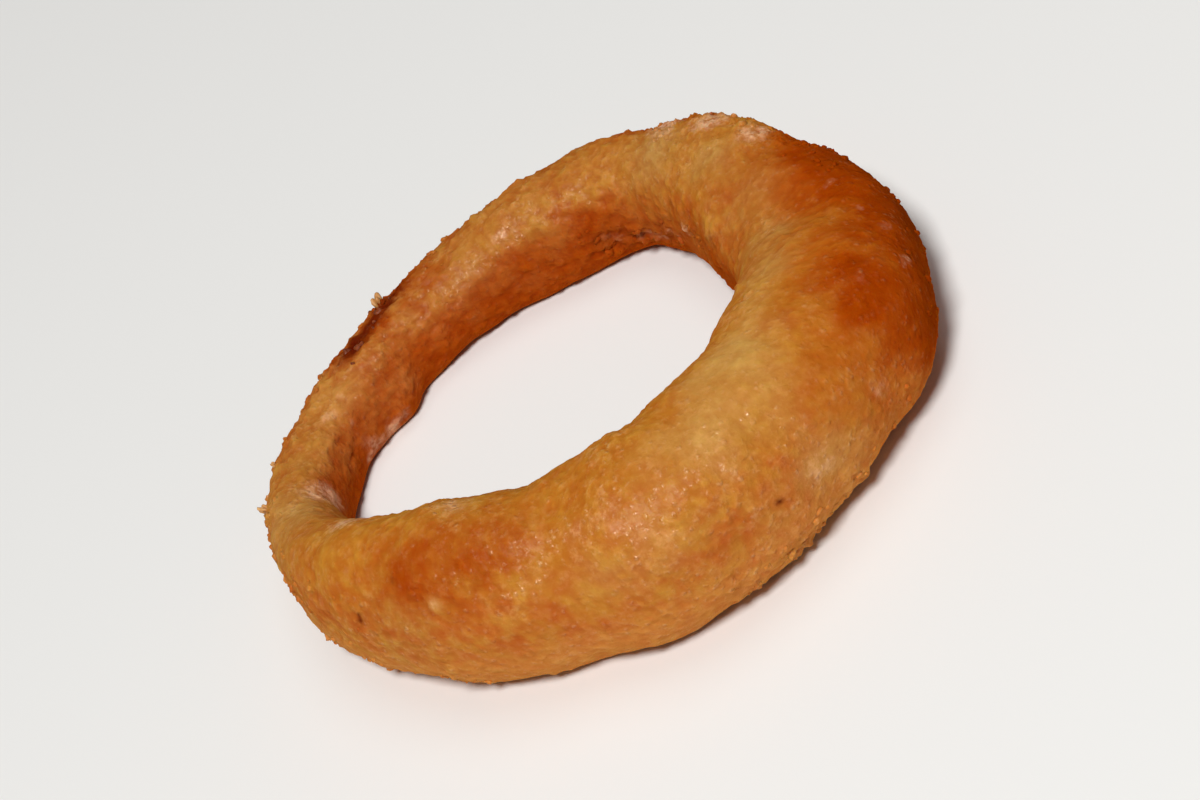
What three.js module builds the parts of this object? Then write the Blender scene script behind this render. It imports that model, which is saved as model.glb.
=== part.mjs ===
// A battered, deep-fried onion ring, lying flat on its underside.
// One closed solid: a slice of onion wrapped all the way round in a thick crust of batter. The ring is nearly
// round in plan, but its wall is uneven: thin and low on the far side, tall and broad on the near side and
// at the right-hand end. The hole goes right through.
// Frame: millimetres, +Z up, the origin on the underside's plane, below the middle of the bounding box.

import * as THREE from 'three';
import { ParametricGeometry } from 'three/addons/geometries/ParametricGeometry.js';
import { mergeVertices } from 'three/addons/utils/BufferGeometryUtils.js';

// Mesh fineness: steps along the ring, and steps about its wall's section.
const STEPS_ALONG = 140;
const STEPS_ABOUT = 34;

// Wall sections at equal angles round the ring, from +X through +Y (the far side) and -X to -Y (the near side).
// Each row: reach of the section's middle from the ring's axis, width, height.
const SECTIONS = [
	[ 32.0, 23.0, 18.5 ],  //   0, the broad right-hand end
	[ 33.5, 20.5, 18.5 ],  //  30
	[ 40.5, 15.0, 16.0 ],  //  60
	[ 41.0, 12.5, 14.5 ],  //  90, the thin far side
	[ 43.8, 11.0, 11.5 ],  // 120
	[ 44.5, 9.6, 12.5 ],   // 150
	[ 39.2, 13.1, 19.0 ],  // 180, the left-hand end
	[ 33.2, 19.1, 24.2 ],  // 210
	[ 29.0, 20.5, 23.0 ],  // 240
	[ 29.5, 22.0, 25.0 ],  // 270, the thick near side
	[ 28.0, 23.5, 23.0 ],  // 300
	[ 30.5, 25.5, 22.5 ],  // 330
];

// The section is a rounded square: 2 would be an ellipse, and larger is squarer.
const SQUARENESS = 2.35;

// How far the underside was pressed flat by its own weight.
const PRESSED_FLAT = 0.8;

// Lumps and hollows of the batter: where round the ring, where about the section (0 faces outwards, 90 up,
// 180 into the hole), how far they spread and how high they stand.
const LUMPS = [
	{ along: 33, about: 50, spread: 4.5, height: 1.1 },    // low hump on the right-hand end's outer shoulder
	{ along: 44, about: 50, spread: 3.5, height: 0.7 },    // the smaller hump beside it
	{ along: 54, about: 50, spread: 4.0, height: - 0.9 },  // the dip beyond them
	{ along: 125, about: 197, spread: 3.0, height: 1.6 },  // swelling on the hole's left-hand side
	{ along: 235, about: 125, spread: 5.0, height: - 0.7 },  // shallow saddle in the near side's inner edge
	{ along: 256, about: 120, spread: 6.0, height: 0.9 },  // the swelling beside it
	{ along: 300, about: 60, spread: 9.0, height: 0.8 },   // full middle of the near side
	{ along: 222, about: 75, spread: 8.0, height: 0.6 },   // full left-hand shoulder
];

// Slow waves left by the batter as it set: wavelength and height of each.
const WAVES = [
	{ length: 31, height: 0.45 },
	{ length: 17, height: 0.30 },
	{ length: 9.5, height: 0.16 },
];

const FULL_TURN = 2 * Math.PI;

// A closed smooth curve through one column of SECTIONS, read by the share of a full turn.
function smoothColumn( column ) {

	const curve = new THREE.CatmullRomCurve3(
		SECTIONS.map( ( row ) => new THREE.Vector3( row[ column ], 0, 0 ) ), true, 'catmullrom', 0.5 );
	return ( turn ) => curve.getPoint( turn ).x;

}

const reachAt = smoothColumn( 0 );
const widthAt = smoothColumn( 1 );
const heightAt = smoothColumn( 2 );

// The middle of the wall's section, from which lumps and waves push the crust outwards.
function wallMiddle( along, target ) {

	const angle = along * FULL_TURN;
	const reach = reachAt( along );
	return target.set( reach * Math.cos( angle ), reach * Math.sin( angle ), heightAt( along ) / 2 - PRESSED_FLAT );

}

// The smooth wall: a point at the share of a turn along the ring and about its section.
function wallPoint( along, about, target ) {

	const angle = along * FULL_TURN;
	const turn = about * FULL_TURN;
	const power = 2 / SQUARENESS;
	const outwards = Math.sign( Math.cos( turn ) ) * Math.abs( Math.cos( turn ) ) ** power;
	const upwards = Math.sign( Math.sin( turn ) ) * Math.abs( Math.sin( turn ) ) ** power;
	const halfHeight = heightAt( along ) / 2;
	const reach = reachAt( along ) + outwards * widthAt( along ) / 2;
	const z = halfHeight - PRESSED_FLAT + upwards * halfHeight;
	return target.set( reach * Math.cos( angle ), reach * Math.sin( angle ), z );

}

const lumpCentres = LUMPS.map( ( lump ) => wallPoint( lump.along / 360, lump.about / 360, new THREE.Vector3() ) );

// How far the crust stands out of the smooth wall at a point.
function crustRise( point ) {

	let rise = 0;
	LUMPS.forEach( ( lump, i ) => {

		const share = point.distanceTo( lumpCentres[ i ] ) / lump.spread;
		rise += lump.height * Math.exp( - share * share );

	} );
	WAVES.forEach( ( wave, i ) => {

		const k = FULL_TURN / wave.length;
		rise += wave.height * Math.sin( k * point.x + 1.7 * i + 0.8 * Math.sin( k * point.z ) )
			* Math.sin( k * point.y - 0.9 * i + 0.6 * Math.sin( k * point.x ) );

	} );
	return rise;

}

const middle = new THREE.Vector3();
const outward = new THREE.Vector3();

// The crust's surface, flat where it would reach below the surface that it lies on.
// A full turn is read as none, so that the sheet's two edges meet exactly.
function crustPoint( along, about, target ) {

	const alongTurn = along % 1;
	wallPoint( alongTurn, about % 1, target );
	wallMiddle( alongTurn, middle );
	outward.subVectors( target, middle ).normalize();
	target.addScaledVector( outward, crustRise( target ) );
	target.z = Math.max( target.z, 0 );

}

function crustGeometry() {

	const sheet = new ParametricGeometry( crustPoint, STEPS_ALONG, STEPS_ABOUT );
	sheet.deleteAttribute( 'normal' );
	sheet.deleteAttribute( 'uv' );
	const closed = mergeVertices( sheet, 1e-3 );
	closed.computeBoundingBox();
	const centre = closed.boundingBox.getCenter( new THREE.Vector3() );
	closed.translate( - centre.x, - centre.y, 0 );
	closed.computeVertexNormals();
	return closed;

}

const crustMaterial = new THREE.MeshStandardMaterial( { color: 0xb8742c, roughness: 0.5, metalness: 0 } );

const onionRing = new THREE.Mesh( crustGeometry(), crustMaterial );
onionRing.name = 'onion_ring';

const serving = new THREE.Group();
serving.add( onionRing );

export default serving;
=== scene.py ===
"""A battered, deep-fried onion ring, lying flat: its crust, the crumbs baked onto it, and a plain studio."""

import math

import bmesh
import bpy
from mathutils import Matrix, Vector


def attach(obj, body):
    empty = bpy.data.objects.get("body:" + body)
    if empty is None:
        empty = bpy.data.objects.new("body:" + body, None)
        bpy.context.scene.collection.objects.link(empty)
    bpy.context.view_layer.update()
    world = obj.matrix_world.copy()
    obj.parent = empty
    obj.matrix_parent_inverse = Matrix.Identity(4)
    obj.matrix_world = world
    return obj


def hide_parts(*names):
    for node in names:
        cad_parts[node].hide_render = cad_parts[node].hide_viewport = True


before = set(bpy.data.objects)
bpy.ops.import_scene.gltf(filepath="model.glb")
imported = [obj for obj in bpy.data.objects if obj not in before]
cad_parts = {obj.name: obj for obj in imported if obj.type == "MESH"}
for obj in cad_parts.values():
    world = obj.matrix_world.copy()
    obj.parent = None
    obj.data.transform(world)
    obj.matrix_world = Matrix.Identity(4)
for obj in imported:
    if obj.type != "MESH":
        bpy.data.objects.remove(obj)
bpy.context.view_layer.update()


# --- The crust of batter ------------------------------------------------------------------------------
# A slice of onion is dipped in thick batter and deep-fried, so the whole ring is one crust, about 24 mm tall
# on the near side and half that on the far side. It is lumpy where the batter ran and set, pimply all over
# from the steam that blew through it, crumbly in a few places, and flat where it lies.

MM = 0.001


class Wire:
    """The output of a node. Sums on it add Math nodes to its tree."""

    def __init__(self, bench, socket):
        self.bench, self.socket = bench, socket

    def sum_node(self, operation, *terms):
        return self.bench.node("ShaderNodeMath", {"operation": operation}, dict(enumerate(terms)))

    def __add__(self, other):
        return self.sum_node("ADD", self, other)

    def __radd__(self, other):
        return self.sum_node("ADD", other, self)

    def __sub__(self, other):
        return self.sum_node("SUBTRACT", self, other)

    def __rsub__(self, other):
        return self.sum_node("SUBTRACT", other, self)

    def __mul__(self, other):
        return self.sum_node("MULTIPLY", self, other)

    def __rmul__(self, other):
        return self.sum_node("MULTIPLY", other, self)

    def __rtruediv__(self, other):
        return self.sum_node("DIVIDE", other, self)

    def __neg__(self):
        return self.sum_node("MULTIPLY", self, -1.0)

    def at_least(self, other):
        return self.sum_node("MAXIMUM", self, other)


class Bench:
    """A tree of nodes, for a material or for a shape."""

    def __init__(self, tree):
        self.tree = tree

    def node(self, kind, settings=None, sockets=None, output=0):
        """Adds a node: settings first, then values or wires for its sockets by identifier, name or number."""
        made = self.tree.nodes.new(kind)
        for name, value in (settings or {}).items():
            setattr(made, name, value)
        for key, value in (sockets or {}).items():
            socket = made.inputs[key] if isinstance(key, int) else next(
                s for by in ("identifier", "name") for s in made.inputs if getattr(s, by) == key)
            if isinstance(value, Wire):
                self.tree.links.new(value.socket, socket)
            else:
                socket.default_value = value
        found = made.outputs[output] if isinstance(output, int) and made.outputs else next(
            (s for by in ("identifier", "name") for s in made.outputs if getattr(s, by) == output), None)
        return Wire(self, found) if found else made

    def noise(self, place, size, seed, detail=2.0, roughness=0.5, output="Fac"):
        """Soft noise from 0 to 1 whose lumps are about this size, in the units of place."""
        return self.node("ShaderNodeTexNoise", {"noise_dimensions": "4D"}, {
            "Vector": place, "W": seed, "Scale": 1.0 / size,
            "Detail": detail, "Roughness": roughness}, output)

    def domes(self, place, size, smoothness=0.3, reach=0.62, uneven=0.7):
        """Domes on cells of about this size: 1 at a middle, 0 from reach times the size, and some lower."""
        cells = {"Vector": place, "Scale": 1.0 / size}
        if smoothness:
            cells["Smoothness"] = smoothness
        feature = "SMOOTH_F1" if smoothness else "F1"
        made = self.node("ShaderNodeTexVoronoi", {"feature": feature}, cells, "Distance")
        chance = self.node("ShaderNodeSeparateXYZ", {}, {0: Wire(self, made.socket.node.outputs["Color"])})
        return self.step(made, reach, 0.0) * (chance * uneven + (1.0 - uneven))

    def step(self, value, low, high):
        """A smooth step from 0 at low to 1 at high."""
        return self.node("ShaderNodeMapRange", {"interpolation_type": "SMOOTHSTEP"}, {
            "Value": value, "From Min": low, "From Max": high, "To Min": 0.0, "To Max": 1.0})

    def vector(self, operation, *terms, output=0, **sockets):
        """A sum on vectors."""
        return self.node("ShaderNodeVectorMath", {"operation": operation},
                         {**dict(enumerate(terms)), **sockets}, output)

    def parts(self, vector):
        """The three numbers of a vector."""
        split = self.node("ShaderNodeSeparateXYZ", {}, {0: vector}).socket.node
        return [Wire(self, s) for s in split.outputs]

    def strayed(self, place, size, far, seed):
        """A place moved about by noise, up to this far."""
        stray = self.vector("SUBTRACT", self.noise(place, size, seed, output="Color"), (0.5, 0.5, 0.5))
        return self.vector("ADD", place, self.vector("SCALE", stray, Scale=2.0 * far))

    def nearness(self, place, spots):
        """How near a place is to the spots: each adds its strength at its middle, and half at its spread."""
        total = None
        for centre, spread, strength in spots:
            far = self.vector("DISTANCE", place, centre, output="Value")
            near = self.step(far, spread * 2.0, 0.0) * strength
            total = near if total is None else total + near
        return total

    def mixed(self, share, a, b, blend="MIX"):
        """Two colours mixed by share."""
        return self.node("ShaderNodeMix", {"data_type": "RGBA", "blend_type": blend}, {
            "Factor_Float": share, "A_Color": a, "B_Color": b}, "Result_Color")


def tone(code):
    """A colour as #rrggbb, made linear."""
    parts = [int(code[i:i + 2], 16) / 255 for i in (1, 3, 5)]
    return [p / 12.92 if p <= 0.04045 else ((p + 0.055) / 1.055) ** 2.4 for p in parts] + [1.0]


def shape_tree(name, inputs):
    """An empty tree for a shape: its bench, and a wire from each of its named inputs."""
    tree = bpy.data.node_groups.new(name, "GeometryNodeTree")
    tree.interface.new_socket("Mesh", in_out="INPUT", socket_type="NodeSocketGeometry")
    for given, kind in inputs.items():
        tree.interface.new_socket(given, in_out="INPUT", socket_type="NodeSocket" + kind)
    tree.interface.new_socket("Made", in_out="OUTPUT", socket_type="NodeSocketGeometry")
    bench = Bench(tree)
    entry = tree.nodes.new("NodeGroupInput")
    return bench, {s.name: Wire(bench, s) for s in entry.outputs if s.name}


def finished_tree(bench, shape, material):
    """Ends the tree of a shape: smooth shading, real mesh and its material."""
    shape = bench.node("GeometryNodeSetShadeSmooth", {}, {"Geometry": shape, "Shade Smooth": True})
    shape = bench.node("GeometryNodeRealizeInstances", {}, {"Geometry": shape})
    shape = bench.node("GeometryNodeSetMaterial", {}, {"Geometry": shape, "Material": material})
    bench.tree.links.new(shape.socket, bench.tree.nodes.new("NodeGroupOutput").inputs["Made"])
    return bench.tree


def grown(mesh, name, tree, sizes):
    """A mesh taken through a tree of nodes with these sizes, and left as a plain object."""
    raw = bpy.data.objects.new(name + "_raw", mesh)
    bpy.context.scene.collection.objects.link(raw)
    modifier = raw.modifiers.new("shape", "NODES")
    modifier.node_group = tree
    for socket in tree.interface.items_tree:
        if socket.in_out == "INPUT" and socket.name in sizes:
            modifier[socket.identifier] = sizes[socket.name]
    graph = bpy.context.evaluated_depsgraph_get()
    plain = bpy.data.meshes.new_from_object(
        raw.evaluated_get(graph), preserve_all_data_layers=True, depsgraph=graph)
    plain.name = name
    bpy.data.objects.remove(raw)
    made = bpy.data.objects.new(name, plain)
    bpy.context.scene.collection.objects.link(made)
    return made


# The next lists give spots of the crust: each one's middle in millimetres, how far it spreads, and how
# strongly.

# Where the batter is crumbly.
CRUMBLY = [
    # Low in the hole's right-hand corner.
    ((12.0, 29.2, 6.5), 2.2, 1.0), ((14.5, 28.2, 5.2), 2.2, 1.5), ((17.3, 25.8, 4.6), 2.2, 1.6),
    ((19.8, 21.0, 6.5), 2.4, 1.5), ((21.7, 13.1, 10.9), 2.2, 1.1), ((23.4, 6.0, 13.5), 1.8, 0.8),
    # The far side's outer edge, round to the left-hand end.
    ((-24.0, 35.0, 10.5), 2.6, 1.0), ((-19.5, 37.0, 10.5), 2.1, 0.8), ((-15.0, 39.0, 10.6), 2.1, 1.0),
    ((-28.5, 33.0, 10.0), 2.2, 0.6), ((-37.5, 24.0, 10.0), 2.2, 0.6), ((-42.5, 14.0, 10.0), 2.2, 0.7),
    # The right-hand shoulder, the near side's foot, and the swelling in the hole.
    ((28.5, 31.5, 13.5), 3.8, 0.8), ((33.0, 24.0, 15.0), 3.8, 0.8), ((38.0, 12.0, 15.0), 3.4, 0.7),
    ((19.5, -35.0, 3.5), 3.4, 0.8), ((11.0, -38.5, 3.5), 3.4, 1.1), ((3.0, -40.5, 3.5), 3.0, 1.0),
    ((-32.0, -26.5, 4.0), 3.0, 0.9), ((-22.0, 27.5, 3.0), 2.6, 0.7),
]

# Where it is darker red: a browned patch on the left-hand shoulder, and browning with painted shade on the
# broad end's outer side and on the far side round the burnt band.
BROWNED_AND_SHADED = [
    ((44.0, -14.0, 10.0), 7.0, 1.2), ((44.5, -3.0, 10.0), 7.0, 1.2), ((43.0, 8.0, 10.0), 7.0, 1.2),
    ((40.5, -24.0, 9.0), 6.0, 1.1), ((40.0, 16.0, 10.0), 5.0, 0.9), ((38.0, -31.0, 7.0), 5.0, 0.7),
    ((38.5, -12.0, 17.0), 4.5, 0.5), ((37.8, -20.0, 17.0), 4.5, 0.6), ((38.0, 3.0, 16.8), 4.5, 0.5),
    ((33.5, -25.5, 19.0), 3.6, 0.9), ((33.0, -20.5, 20.2), 2.4, 0.6), ((31.5, -29.8, 17.5), 4.0, 0.4),
    ((36.0, -3.0, 17.2), 4.5, 0.4), ((37.0, 8.5, 16.5), 4.0, 0.4), ((32.5, -14.0, 20.0), 3.5, 0.25),
    ((26.0, 0.5, 15.5), 3.0, 0.4), ((35.0, -30.0, 14.0), 3.5, 0.5), ((-26.5, -26.5, 22.5), 4.5, 0.6),
    ((-19.0, -31.0, 22.5), 4.5, 0.6), ((-31.5, -24.0, 20.5), 3.5, 0.4), ((-24.0, -31.0, 18.5), 3.5, 0.4),
    ((-35.0, -21.0, 15.0), 4.0, 0.35), ((-14.5, 34.5, 10.6), 4.5, 0.35), ((-8.0, 35.5, 11.4), 3.5, 0.25),
    ((-20.5, 31.5, 10.4), 4.0, 0.3), ((-25.5, 28.5, 10.2), 3.5, 0.25), ((29.5, -23.0, 21.0), 3.0, 0.45),
    ((37.5, -5.0, 17.5), 3.5, 0.35), ((22.5, -25.5, 22.2), 2.4, 0.45), ((-24.4, -25.0, 23.7), 3.0, 0.2),
    ((-32.5, -25.0, 20.0), 3.5, 0.2), ((-30.1, -29.9, 16.3), 3.5, 0.2), ((28.5, 8.0, 17.0), 2.6, 0.4),
    ((-9.0, 35.5, 11.0), 3.5, 0.3), ((30.1, -30.2, 18.1), 2.6, 0.3), ((10.9, 31.3, 13.2), 2.5, 0.3),
    ((-19.3, 36.3, 10.8), 2.5, 0.5), ((-23.5, 33.6, 10.8), 2.5, 0.5), ((-14.5, 38.4, 11.0), 2.5, 0.4),
]

# Where it stayed pale: along the crest of the broad end, across the near side and at the left-hand end; on
# the near side the paleness is partly a painted highlight.
PALE = [
    ((24.5, 25.5, 16.4), 4.0, 0.65), ((18.0, 30.0, 14.4), 3.0, 0.3), ((28.5, 16.0, 17.3), 3.5, 0.6),
    ((30.5, 5.0, 17.5), 3.0, 0.3), ((29.3, -5.5, 18.5), 3.2, 0.5), ((25.5, -14.0, 20.6), 3.4, 0.55),
    ((21.5, -20.0, 22.0), 3.6, 0.5), ((18.2, -26.5, 22.6), 4.0, 0.8), ((12.5, -29.5, 23.5), 4.5, 0.7),
    ((8.5, -37.5, 22.6), 4.5, 0.8), ((2.0, -34.5, 24.0), 3.5, 0.4), ((16.0, -36.5, 20.5), 3.0, 0.4),
    ((17.5, -39.5, 13.0), 4.0, 0.5), ((-3.0, -42.0, 18.5), 4.5, 0.5), ((-11.5, -40.0, 16.5), 4.0, 0.4),
    ((-18.5, -35.5, 18.0), 2.5, 0.3), ((-39.5, 8.5, 14.0), 3.5, 0.6), ((-40.5, 2.0, 14.5), 3.5, 0.4),
    ((-20.5, -22.0, 23.2), 3.0, 0.4), ((-28.0, 28.5, 10.2), 3.5, 0.4), ((-6.0, 34.5, 11.2), 3.5, 0.3),
    ((21.7, -37.8, 9.1), 3.5, 0.4), ((19.0, -33.5, 21.7), 2.6, 0.5), ((-4.4, 31.8, 9.0), 2.4, 0.4),
]

# Where the gold is duller: along the crest of the broad end, and low at the left-hand end.
DULL = [
    ((31.5, 3.0, 17.4), 6.0, 1.3), ((27.5, -9.0, 19.0), 5.0, 0.9), ((30.0, 14.0, 17.5), 4.0, 1.0),
    ((24.5, 25.5, 16.4), 5.0, 1.2), ((-34.0, -26.0, 14.0), 5.0, 0.5),
]

# Where fine blisters crowd and the oil stands on them; the pale pinkish colour laid there is partly a painted
# glint.
GLISTENING = [
    ((2.3, -41.1, 20.5), 5.0, 0.3), ((-7.5, -38.5, 20.5), 5.0, 0.4), ((17.0, -39.7, 11.5), 3.5, 0.6),
    ((9.4, -39.6, 20.8), 3.2, 0.5), ((-2.6, -30.9, 24.1), 3.0, 0.5), ((8.2, -42.7, 9.1), 3.5, 0.55),
    ((-12.0, -35.7, 21.1), 3.0, 0.45), ((-3.9, -42.0, 19.2), 3.0, 0.3), ((-5.3, -36.4, 23.2), 2.5, 0.35),
    ((19.0, -33.5, 21.7), 2.6, 0.3), ((27.1, 18.0, 17.0), 2.5, 0.5), ((-20.0, -34.0, 20.0), 3.0, 0.4),
    ((-20.5, -22.0, 23.0), 3.0, 0.8), ((32.5, 23.0, 16.6), 3.0, 1.5), ((27.0, 29.5, 14.5), 3.0, 1.3),
    ((35.6, 15.5, 16.8), 2.6, 1.3), ((-36.2, 11.5, 11.5), 2.8, 0.8), ((-34.9, 12.9, 9.2), 2.2, 0.75),
    ((-34.4, 13.2, 5.0), 2.4, 0.5), ((-32.6, -9.5, 20.7), 2.2, 0.6), ((-30.0, -12.0, 21.8), 2.0, 0.4),
    ((-27.5, 24.4, 2.4), 2.2, 1.1), ((-23.5, 26.5, 1.8), 2.2, 1.1), ((-33.5, -7.0, 19.5), 2.4, 0.6),
    ((-22.0, 31.5, 10.8), 3.5, 0.5), ((-8.0, 34.5, 11.2), 4.5, 0.5), ((6.0, 33.5, 13.8), 4.5, 0.4),
    ((28.0, -31.0, 14.0), 3.0, 0.4), ((14.0, 28.6, 6.0), 1.2, 0.6), ((18.6, 24.0, 5.5), 1.4, 0.9),
    ((21.7, 14.0, 10.5), 1.4, 1.1), ((12.2, 29.4, 6.9), 1.1, 0.5), ((16.2, 27.2, 5.8), 1.1, 0.6),
    ((17.4, 25.8, 6.4), 1.1, 0.6), ((20.2, 20.4, 7.4), 1.3, 0.8), ((21.0, 17.2, 8.8), 1.2, 0.7),
    ((-30.4, 25.6, 10.0), 1.6, 0.9), ((-27.8, 24.6, 7.7), 1.4, 0.7), ((-28.4, 33.3, 10.4), 1.2, 0.7),
    ((29.0, -33.7, 11.2), 1.8, 0.6), ((22.4, -37.5, 10.1), 1.8, 0.5), ((17.5, -39.4, 14.0), 2.0, 0.2),
    ((13.5, -40.8, 15.7), 1.6, 0.3), ((38.6, -3.0, 17.0), 0.9, 0.95), ((39.7, -9.0, 16.7), 0.9, 1.05),
    ((40.2, -15.0, 16.2), 0.9, 0.95), ((39.6, -21.0, 15.3), 1.2, 1.1), ((33.5, -24.0, 19.8), 1.0, 0.8),
    ((1.5, 33.5, 12.8), 1.2, 1.2),
]

# Where the far side's outer edge is burnt dark, in a band about 2 mm wide.
BURNT = [
    ((-25.8, 32.4, 10.9), 1.3, 0.5), ((-23.7, 33.8, 11.0), 1.6, 1.05), ((-22.2, 34.6, 10.9), 1.6, 0.8),
    ((-20.4, 35.7, 10.8), 1.6, 0.6), ((-18.9, 36.6, 10.9), 1.6, 0.5), ((-17.1, 37.4, 11.0), 1.8, 0.6),
    ((-15.5, 38.0, 11.1), 1.9, 0.6), ((-13.6, 38.6, 11.2), 1.6, 0.45), ((-11.8, 39.1, 11.2), 1.4, 0.4),
    ((-9.5, 39.6, 11.0), 1.2, 0.3), ((-28.5, 30.9, 10.6), 1.1, 0.35),
]

# A pale, round blister on the left-hand shoulder.
BLISTER = [((-28.9, -29.5, 18.5), 0.9, 1.0)]

# A burnt speck on the near side, and where the left-hand end's crust split open in slits.
SPECKS = [
    ((10.9, -42.0, 12.7), 0.36, 1.8), ((-38.2, -20.2, 15.2), 0.45, 1.3), ((-37.8, -20.2, 16.1), 0.35, 1.1),
    ((-31.9, -24.3, 20.9), 0.5, 0.6),
]


def crust_tree():
    """The relief of a batter crust on a plain ring, with its sizes as inputs in millimetres."""
    bench, given = shape_tree("batter_crust", {
        "Fineness": "Int", "Lump size": "Float", "Lump height": "Float", "Knob size": "Float",
        "Knob height": "Float", "Pimple size": "Float", "Pimple height": "Float", "Crumb size": "Float",
        "Crumb height": "Float", "Flat underside": "Float"})
    fine = bench.node("GeometryNodeSubdivisionSurface", {}, {
        "Mesh": given["Mesh"], "Level": given["Fineness"]})
    place = bench.vector("SCALE", bench.node("GeometryNodeInputPosition"), Scale=1 / MM)
    outward = bench.node("GeometryNodeInputNormal")
    x, y, z = bench.parts(place)
    patch_place = bench.strayed(place, size=6.0, far=3.5, seed=11.0)

    # The wall of the hole faces the ring's axis, and the crest faces up.
    inward = bench.vector("NORMALIZE", bench.node("ShaderNodeCombineXYZ", {}, {0: -x, 1: -y, 2: 0.0}))
    into_hole = bench.vector("DOT_PRODUCT", outward, inward, output="Value")
    facing_up = bench.parts(outward)[2]

    # How near each place is to the spots: the broad ones are led astray, so that their edges wander.
    crumbly = bench.nearness(bench.strayed(place, size=3.0, far=1.5, seed=12.0), CRUMBLY)
    blister = bench.nearness(place, BLISTER)
    browned_and_shaded = bench.nearness(patch_place, BROWNED_AND_SHADED) - blister * 0.5
    pale = bench.nearness(patch_place, PALE) + blister * 0.8
    glistening = bench.nearness(patch_place, GLISTENING) + blister * 0.75
    burnt = (bench.nearness(bench.strayed(place, size=2.0, far=1.2, seed=16.0), BURNT)
             + bench.nearness(place, SPECKS))

    # The relief: slow lumps, knobs on them, and pimples that are rougher in patches and on the far side.
    far = bench.step(y, 5.0, 28.0)
    lumps = (bench.noise(place, given["Lump size"], seed=2.0, detail=1.0) * 2.0 - 1.4) * given["Lump height"]
    knobs = bench.noise(place, given["Knob size"], seed=5.0, detail=1.0, roughness=0.4) * 2.0 - 1.0
    knobs = knobs * given["Knob height"]
    pimple_place = bench.strayed(place, size=1.6, far=0.6, seed=13.0)
    rough = bench.step(bench.noise(place, 7.0, seed=15.0), 0.35, 0.7) * 0.75 + far * 0.8 + 0.35 + crumbly
    pimples = bench.domes(pimple_place, given["Pimple size"], smoothness=0.15)
    pimples = pimples * given["Pimple height"] * rough
    beads = bench.domes(pimple_place, given["Pimple size"] * 1.9, smoothness=0.15, reach=0.6, uneven=0.9)
    beads = beads * given["Pimple height"] * rough
    grit = bench.noise(place, given["Pimple size"] * 0.8, seed=9.0, roughness=0.6) * 2.0 - 1.0
    grit = grit * given["Pimple height"] * rough
    crumb_place = bench.strayed(place, size=1.5, far=0.8, seed=14.0)
    big_crumbs, small_crumbs = (bench.domes(crumb_place, size, smoothness=0.1, reach=0.7, uneven=0.8)
                                for size in (given["Crumb size"], given["Crumb size"] * 0.55))
    crumbs = (big_crumbs + small_crumbs * 0.5 - 0.35) * given["Crumb height"] * crumbly
    relief = lumps + knobs + pimples + beads + grit + crumbs + blister * 0.35

    # How far the batter is of each colour, in soft patches that run into each other.
    broad = bench.noise(place, 14.0, seed=1.0, detail=1.0)
    patchy = bench.noise(place, 4.5, seed=3.0, detail=3.0, roughness=0.6)
    mottle = bench.noise(place, 1.8, seed=4.0, roughness=0.6)
    uneven = (patchy - 0.5) * 0.8 + (mottle - 0.5) * (far * 0.8 + 0.4)
    # The hole's wall and the faces turned down are darker and redder: browning and painted shade together.
    deep_and_shaded = bench.step(into_hole - facing_up * 0.5 + (patchy - 0.5) * 0.7, 0.2, 1.15)
    # The far side's outer faces are darkened as painted shade.
    edge = bench.step(-into_hole, -0.2, 0.7) * bench.step(y, 12.0, 28.0)
    crowd = bench.noise(place, 5.0, seed=9.5, detail=3.0, roughness=0.6)
    crowd = bench.step(crowd + glistening * 0.3, 0.4, 0.85) * 0.8 + 0.2
    for name, value in {
            "orange": bench.step(mottle + (patchy - 0.5) * 0.9, 0.2, 0.85),
            "golden": bench.step(facing_up + (broad - 0.5) * 0.8, 0.2, 1.0),
            # Low walls are lighter: painted bounce light from the table.
            "low": bench.step(z, 13.0, 5.0),
            "pale": bench.step(pale + uneven, 0.0, 1.1),
            "deep_and_shaded": deep_and_shaded,
            # Browning, with painted shade on the broad end's outer side and on the far side. The next share
            # darkens the strongest of these places further, also partly as painted shade.
            "browned_and_shaded": bench.step(browned_and_shaded + edge * 0.6 + uneven, 0.0, 1.1),
            "charred_and_shaded": bench.step(browned_and_shaded + uneven * 0.7, 0.8, 2.0),
            "scorched": bench.step(crumbly + (mottle - 0.5) * 1.2, 0.55, 1.1),
            "burnt": bench.step(burnt + (mottle - 0.5) * 0.9, 0.1, 1.2),
            # Painted shade in the hollows between pimples, beads and grit.
            "hollow_shade": bench.step(pimples + beads + grit, 0.2, -0.1),
            # Pale froth with painted glints on it.
            "froth_and_glint": bench.step(glistening + uneven, 0.4, 1.3),
            # Greyer towards the far side and the left-hand end as a painted sheen, and a real duller gold at
            # the spots listed in DULL.
            "dull_and_sheen": bench.step(y - x * 0.6, 5.0, 32.0) * 0.8 + bench.nearness(patch_place, DULL),
            # The broad end is darker and drier, partly as painted shade.
            "drained_and_shaded": (bench.step(x - into_hole * 6.0, 20.0, 36.0) * bench.step(pale, 1.0, 0.0)
                        * bench.step(y, 18.0, 4.0)),
            "blistered": crowd * (1.0 - deep_and_shaded * 0.8)}.items():
        fine = bench.node("GeometryNodeStoreNamedAttribute", {"data_type": "FLOAT", "domain": "POINT"}, {
            "Geometry": fine, "Name": name, "Value": value})

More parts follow.
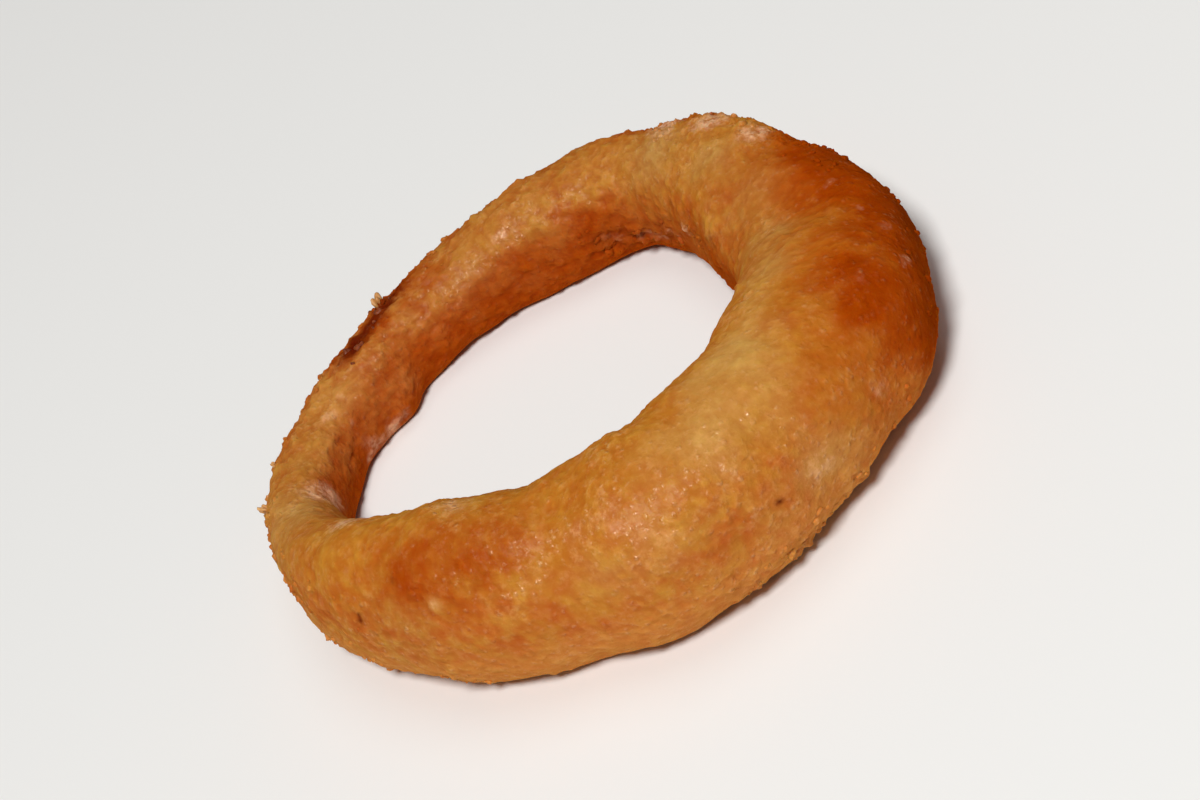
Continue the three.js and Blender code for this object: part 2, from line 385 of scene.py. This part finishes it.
    # The underside lies flat, so the relief fades out towards it and nothing reaches below it.
    moved = bench.vector("SCALE", outward, Scale=relief * bench.step(z, 0.2, given["Flat underside"]) * MM)
    shaped = bench.node("GeometryNodeSetPosition", {}, {"Geometry": fine, "Offset": moved})
    ax, ay, az = bench.parts(bench.node("GeometryNodeInputPosition"))
    lifted = bench.node("ShaderNodeCombineXYZ", {}, {0: ax, 1: ay, 2: az.at_least(0.0)})
    shaped = bench.node("GeometryNodeSetPosition", {}, {"Geometry": shaped, "Position": lifted})

    return finished_tree(bench, shaped, batter)


def stored(bench, name):
    """A share that the crust's tree stored on its mesh."""
    settings = {"attribute_type": "GEOMETRY", "attribute_name": name}
    return bench.node("ShaderNodeAttribute", settings, {}, "Fac")


def batter_material():
    """Fried batter: gold with orange mottles, redder and darker in the hole and where browned, partly as
    painted shade, with pale froth and specks that are partly painted glints, and filmed with oil.
    """
    material = bpy.data.materials.new("fried_batter")
    material.use_nodes = True
    material.node_tree.nodes.clear()
    bench = Bench(material.node_tree)
    place = bench.vector("SCALE", bench.node("ShaderNodeTexCoord", {}, {}, "Object"), Scale=1 / MM)
    colour = bench.mixed(stored(bench, "orange"), tone("#c48830"), tone("#bd5c1a"))
    # Of these, the colours for the hole's wall, the browned and charred places and the broad end's drained
    # side stand partly for painted shade. The lighter low colour is painted bounce light from the table, and
    # the greyish dull colour is partly a painted sheen.
    for name, share, code in (
            ("golden", 0.5, "#b5741c"), ("low", 0.6, "#da9046"), ("pale", 0.85, "#cca254"),
            ("dull_and_sheen", 0.2, "#92744e"), ("drained_and_shaded", 0.5, "#b65606"), ("deep_and_shaded", 0.95, "#a64200"),
            ("browned_and_shaded", 0.95, "#a23e00"), ("charred_and_shaded", 0.9, "#6c2600"), ("scorched", 0.4, "#8a4014"),
            ("burnt", 1.0, "#601804")):
        colour = bench.mixed(stored(bench, name) * share, colour, tone(code))
    # Painted shade: the hollows of the relief are darkened.
    colour = bench.mixed(stored(bench, "hollow_shade") * 0.45, colour, tone("#d89460"), "MULTIPLY")

    # The finest blisters are paler than the crust between them, and the oil stands on them; the pale specks
    # and froth laid on them are partly painted glints.
    blistered, froth_and_glint = stored(bench, "blistered"), stored(bench, "froth_and_glint")
    grain = bench.noise(place, 1.1, seed=10.5, detail=3.0, roughness=0.65)
    dot_place = bench.strayed(place, size=0.9, far=0.3, seed=8.0)
    dots = bench.domes(dot_place, 0.8, smoothness=0.0, reach=0.6, uneven=1.0)
    specks = dots * bench.step(grain, 0.4, 0.6)
    oiliness = ((1.0 - stored(bench, "browned_and_shaded") * 0.88) * (1.0 - stored(bench, "deep_and_shaded") * 0.9)
                * (1.0 - stored(bench, "burnt") * 0.8) * (1.0 - stored(bench, "drained_and_shaded") * 0.6))
    for share, code in (
            # Darker where the grain sinks, in the bump's pits: painted shade, with some random tone.
            (bench.step(grain, 0.5, 0.3) * 0.16, "#a04808"),
            (bench.step(grain, 0.45, 0.7) * (blistered * 0.35 + 0.04) * oiliness, "#e8ac66"),
            (specks * (blistered * 0.3), "#eeb074"),
            (froth_and_glint * (bench.step(grain + dots * 0.2, 0.36, 0.66) * 0.65 + 0.1), "#eeb890")):
        colour = bench.mixed(share, colour, tone(code))
    bubble_place = bench.strayed(place, size=1.8, far=0.6, seed=18.0)
    bubbles = bench.domes(bubble_place, 1.7, smoothness=0.2, reach=0.6, uneven=1.0)
    smoothed = (1.0 - stored(bench, "golden") * 0.45) * (1.0 - stored(bench, "pale") * 0.4)
    height = (dots * 0.1 + bubbles * 0.2 + grain * 0.18) * smoothed + specks * (blistered * 0.15)
    bump = bench.node("ShaderNodeBump", {}, {"Strength": 1.0, "Distance": MM, "Height": height})
    batter_body = bench.node("ShaderNodeBsdfPrincipled", {}, {
        "Base Color": colour, "Normal": bump, "Roughness": 0.7, "Specular IOR Level": 0.0,
        "Subsurface Weight": 0.5, "Subsurface Scale": 0.0008, "Subsurface Radius": (1.0, 0.5, 0.25)})
    oil = bench.node("ShaderNodeBsdfAnisotropic", {"distribution": "GGX"}, {
        "Color": (1.0, 0.8, 0.62, 1.0), "Normal": bump, "Roughness": 0.4 - specks * 0.16})
    wetness = (specks * 0.14 + froth_and_glint * 0.04 + 0.022) * (blistered * 0.6 + 0.4) * oiliness
    shader = bench.node("ShaderNodeMixShader", {}, {"Fac": wetness, 1: batter_body, 2: oil})
    bench.node("ShaderNodeOutputMaterial", {}, {"Surface": shader})
    return material


# The plain ring's loose triangles are joined into one closed sheet of mostly four-sided faces.
FLAT_ENOUGH = math.radians(60)
ring_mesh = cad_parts["onion_ring"].data.copy()
ring_mesh.materials.clear()
work = bmesh.new()
work.from_mesh(ring_mesh)
bmesh.ops.remove_doubles(work, verts=work.verts, dist=0.01 * MM)
bmesh.ops.join_triangles(work, faces=work.faces, angle_face_threshold=FLAT_ENOUGH,
                         angle_shape_threshold=FLAT_ENOUGH)
work.to_mesh(ring_mesh)
work.free()

batter = batter_material()
crust = grown(ring_mesh, "batter_crust", crust_tree(), {
    "Fineness": 2, "Lump size": 8.0, "Lump height": 0.35, "Knob size": 3.0, "Knob height": 0.2,
    "Pimple size": 1.3, "Pimple height": 0.28, "Crumb size": 2.0, "Crumb height": 0.8, "Flat underside": 2.5})
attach(crust, "root")
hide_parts("onion_ring")


# --- The crumbs baked onto the crust -------------------------------------------------------------------
# Loose drops of batter in the oil fried to hard crumbs, about 0.3 to 1.3 mm across, and baked onto the crust:
# burnt ones on the far side's outer edge, golden ones in the crumbly places and along the outer edges, and
# a few pale spurs where the batter dripped.

def sprinkled_tree(name, spots, rim, material):
    """Small, uneven lumps sprinkled over a crust near these spots and along its outer rim.

    Apart, Least size, Most size and Lumpiness are in millimetres, Crowding in lumps per square millimetre.
    Tallness is a lump's height over its width, and Sunk is how far it is lowered, as a share of its height.
    """
    bench, given = shape_tree(name, {
        "Apart": "Float", "Crowding": "Float", "Least size": "Float", "Most size": "Float",
        "Tallness": "Float", "Raggedness": "Float", "Lumpiness": "Float", "Sunk": "Float",
        "Segments": "Int", "Rings": "Int", "Seed": "Int"})
    place = bench.vector("SCALE", bench.node("GeometryNodeInputPosition"), Scale=1 / MM)
    x, y, z = bench.parts(place)
    crowd = bench.nearness(bench.strayed(place, size=3.0, far=1.5, seed=22.0), spots)
    if rim:
        outwards = bench.vector("NORMALIZE", bench.node("ShaderNodeCombineXYZ", {}, {0: x, 1: y, 2: 0.0}))
        normal = bench.node("GeometryNodeInputNormal")
        facing_out = bench.vector("DOT_PRODUCT", normal, outwards, output="Value")
        patchy = bench.step(bench.noise(place, 5.0, seed=24.0, roughness=0.6), 0.42, 0.62)
        crowd = crowd + bench.step(facing_out, 0.2, 0.8) * bench.step(y, -25.0, 0.0) * patchy * rim
    crowd = crowd * bench.step(z, 1.0, 2.5)
    points = bench.node("GeometryNodeDistributePointsOnFaces", {"distribute_method": "POISSON"}, {
        "Mesh": given["Mesh"], "Distance Min": given["Apart"] * MM,
        "Density Max": given["Crowding"] * (1 / MM ** 2), "Density Factor": crowd, "Seed": given["Seed"]})
    turned = Wire(bench, points.socket.node.outputs["Rotation"])
    chance = bench.node("FunctionNodeRandomValue", {"data_type": "FLOAT"}, {
        "Min_001": 0.0, "Max_001": 1.0, "Seed": given["Seed"]}, "Value_001")
    size = (given["Least size"] + (given["Most size"] - given["Least size"]) * chance * chance) * MM
    points = bench.node("GeometryNodeStoreNamedAttribute", {"data_type": "FLOAT", "domain": "POINT"}, {
        "Geometry": points, "Name": "lump_size", "Value": size})
    size = bench.node(
        "GeometryNodeInputNamedAttribute", {"data_type": "FLOAT"}, {"Name": "lump_size"}, "Attribute")
    lump = bench.node("GeometryNodeMeshUVSphere", {}, {
        "Segments": given["Segments"], "Rings": given["Rings"], "Radius": 0.5})
    scale = bench.node("ShaderNodeCombineXYZ", {}, {0: size, 1: size, 2: size * given["Tallness"]})
    lumps = bench.node("GeometryNodeInstanceOnPoints", {}, {
        "Points": points, "Instance": lump, "Rotation": turned, "Scale": scale})
    sunk = bench.node("ShaderNodeCombineXYZ", {}, {0: 0.0, 1: 0.0, 2: -given["Sunk"]})
    lumps = bench.node("GeometryNodeTranslateInstances", {}, {
        "Instances": lumps, "Translation": sunk, "Local Space": True})
    lumps = bench.node("GeometryNodeRealizeInstances", {}, {"Geometry": lumps})
    rough = bench.noise(place, given["Lumpiness"], seed=23.0, detail=1.0) * 2.0 - 1.0
    bulge = rough * given["Raggedness"] * size
    offset = bench.vector("SCALE", bench.node("GeometryNodeInputNormal"), Scale=bulge)
    lumps = bench.node("GeometryNodeSetPosition", {}, {"Geometry": lumps, "Offset": offset})
    return finished_tree(bench, lumps, material)


def crumb_material(name, light, dark, coat):
    """A baked crumb: one brown, darker in its hollows, with a little oil on it."""
    material = bpy.data.materials.new(name)
    material.use_nodes = True
    material.node_tree.nodes.clear()
    bench = Bench(material.node_tree)
    place = bench.vector("SCALE", bench.node("ShaderNodeTexCoord", {}, {}, "Object"), Scale=1 / MM)
    mottle = bench.noise(place, 1.2, seed=31.0, detail=3.0, roughness=0.6)
    grain = bench.noise(place, 0.3, seed=32.0, roughness=0.6)
    bump = bench.node("ShaderNodeBump", {}, {"Strength": 1.0, "Distance": MM, "Height": grain * 0.06})
    shader = bench.node("ShaderNodeBsdfPrincipled", {}, {
        "Base Color": bench.mixed(bench.step(mottle, 0.3, 0.7), tone(light), tone(dark)), "Normal": bump,
        "Roughness": 0.5 + grain * 0.15, "Coat Weight": mottle * coat, "Coat Roughness": 0.18,
        "Specular IOR Level": 0.25, "Subsurface Weight": 0.1, "Subsurface Scale": 0.0015,
        "Subsurface Radius": (1.0, 0.4, 0.12)})
    bench.node("ShaderNodeOutputMaterial", {}, {"Surface": shader})
    return material


# Spots of the crust again: where golden crumbs stick.
CRUMBED = [
    ((19.8, 21.0, 6.5), 2.2, 2.0), ((15.0, 27.9, 5.0), 2.2, 2.0), ((21.7, 13.1, 10.9), 1.8, 1.6),
    ((11.5, 29.5, 6.5), 2.0, 1.2), ((28.5, 31.5, 13.5), 4.0, 1.0), ((36.0, 17.0, 15.0), 4.0, 1.0),
    ((39.5, 6.0, 14.5), 3.0, 1.0), ((-16.5, 39.0, 10.0), 2.0, 1.0), ((-43.0, 13.0, 10.0), 3.0, 1.0),
    ((-38.0, 23.0, 10.0), 2.5, 1.0), ((-28.5, 34.0, 10.0), 2.5, 1.0), ((-32.3, -26.5, 4.0), 3.0, 1.0),
    ((19.5, -35.5, 3.5), 3.0, 1.0), ((13.4, -38.0, 3.5), 3.0, 1.0), ((8.0, -40.0, 3.5), 3.0, 1.0),
    ((3.0, -40.5, 3.5), 3.0, 1.0), ((30.0, -33.0, 5.0), 3.0, 1.0), ((40.0, -22.0, 6.5), 3.0, 1.0),
    ((2.0, 41.0, 10.0), 3.0, 1.0), ((-8.0, 41.0, 10.0), 3.0, 1.0),
]

# Where pale spurs stand up, two at the left-hand end and one by the burnt band.
SPURS = [((-42.3, 15.0, 10.8), 0.5, 1.0), ((-39.2, 22.2, 10.2), 0.4, 1.0), ((-16.6, 39.0, 10.7), 0.5, 1.0)]

# Burnt crumbs stick to the band's middle.
BURNT_CRUMBED = BURNT[1:8]

burnt_batter = crumb_material("burnt_batter", "#90441c", "#561c06", 0.15)
pale_batter = crumb_material("pale_batter", "#d8a468", "#b87a3c", 0.4)

for name, spots, rim, material, sizes in (
        ("burnt_crumbs", BURNT_CRUMBED, 0.0, burnt_batter, {
            "Apart": 0.6, "Crowding": 0.5, "Least size": 0.4, "Most size": 1.3, "Tallness": 0.7,
            "Raggedness": 0.8, "Lumpiness": 0.5, "Sunk": 0.2, "Segments": 10, "Rings": 8, "Seed": 2}),
        ("golden_crumbs", CRUMBED, 0.9, batter, {
            "Apart": 0.6, "Crowding": 0.7, "Least size": 0.25, "Most size": 1.2, "Tallness": 0.6,
            "Raggedness": 0.7, "Lumpiness": 0.6, "Sunk": 0.15, "Segments": 8, "Rings": 6, "Seed": 3}),
        ("batter_spurs", SPURS, 0.0, pale_batter, {
            "Apart": 0.25, "Crowding": 8.0, "Least size": 0.4, "Most size": 0.9, "Tallness": 2.2,
            "Raggedness": 0.6, "Lumpiness": 0.5, "Sunk": -0.2, "Segments": 8, "Rings": 8, "Seed": 4})):
    sprinkled = grown(crust.data, name, sprinkled_tree(name, spots, rim, material), sizes)
    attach(sprinkled, "root")


# --- The table top, the light and the camera -----------------------------------------------------------
# A plain pale sweep of card, a large soft light above, a smaller one beside the camera for the oil's glints,
# and the camera 38 degrees above the table, turned so that the ring's broad end points up to the right.

def card_material():
    """Matt white card."""
    material = bpy.data.materials.new("pale_card")
    material.use_nodes = True
    material.node_tree.nodes.clear()
    bench = Bench(material.node_tree)
    shader = bench.node("ShaderNodeBsdfPrincipled", {}, {"Base Color": tone("#e9e8e5"), "Roughness": 0.8})
    bench.node("ShaderNodeOutputMaterial", {}, {"Surface": shader})
    return material


# The card reaches 3 m each way, and lies a hair below the crust's flat underside.
CARD_HALF = 3.0
CARD_TOP = -0.05 * MM
card_mesh = bpy.data.meshes.new("table_card")
card_corners = [(a * CARD_HALF, b * CARD_HALF, CARD_TOP) for a, b in ((-1, -1), (1, -1), (1, 1), (-1, 1))]
card_mesh.from_pydata(card_corners, [], [(0, 1, 2, 3)])
card_mesh.materials.append(card_material())
card = bpy.data.objects.new("table_card", card_mesh)
bpy.context.scene.collection.objects.link(card)

world = bpy.data.worlds.new("studio")
bpy.context.scene.world = world
world.use_nodes = True
for socket, value in (("Color", (1.0, 1.0, 1.0, 1.0)), ("Strength", 0.1)):
    world.node_tree.nodes["Background"].inputs[socket].default_value = value

# How far the camera looks down, its turn about its own line of sight, the point it looks at, and how far off
# it stands.
TILT = math.radians(38)
ROLL = math.radians(34)
AIM = Vector((0.3, 0.0, 6.9)) * MM
CAMERA_AWAY = 0.45
back = Vector((0.0, -math.cos(TILT), math.sin(TILT)))
level_right, level_up = Vector((1.0, 0.0, 0.0)), Vector((0.0, math.sin(TILT), math.cos(TILT)))
right = level_right * math.cos(ROLL) - level_up * math.sin(ROLL)
up = level_right * math.sin(ROLL) + level_up * math.cos(ROLL)


def soft_light(name, direction, away, size, power):
    """A round softbox this far from the ring in a direction, of this size in metres and power in watts."""
    lamp = bpy.data.lights.new(name, "AREA")
    lamp.shape, lamp.size, lamp.energy = "DISK", size, power
    made = bpy.data.objects.new(name, lamp)
    place = AIM + direction * away
    towards_ring = (AIM - place).to_track_quat("-Z", "Y").to_matrix().to_4x4()
    made.matrix_world = Matrix.Translation(place) @ towards_ring
    bpy.context.scene.collection.objects.link(made)


soft_light("overhead_softbox", up * 0.75 + back * 0.5 - right * 0.3, away=2.0, size=1.3, power=5.7)
soft_light("camera_side_softbox", back * 0.9 + up * 0.2 - right * 0.3, away=1.7, size=0.45, power=25.5)

# A 108 mm lens on a 36 mm wide sensor.
lens = bpy.data.cameras.new("camera")
lens.lens, lens.sensor_width, lens.clip_start, lens.clip_end = 108.0, 36.0, 0.01, 20.0
camera = bpy.data.objects.new("camera", lens)
turned = Matrix((right, up, back)).transposed().to_4x4()
camera.matrix_world = Matrix.Translation(AIM + back * CAMERA_AWAY) @ turned
bpy.context.scene.collection.objects.link(camera)
bpy.context.scene.camera = camera
bpy.context.scene.view_settings.view_transform = "Standard"
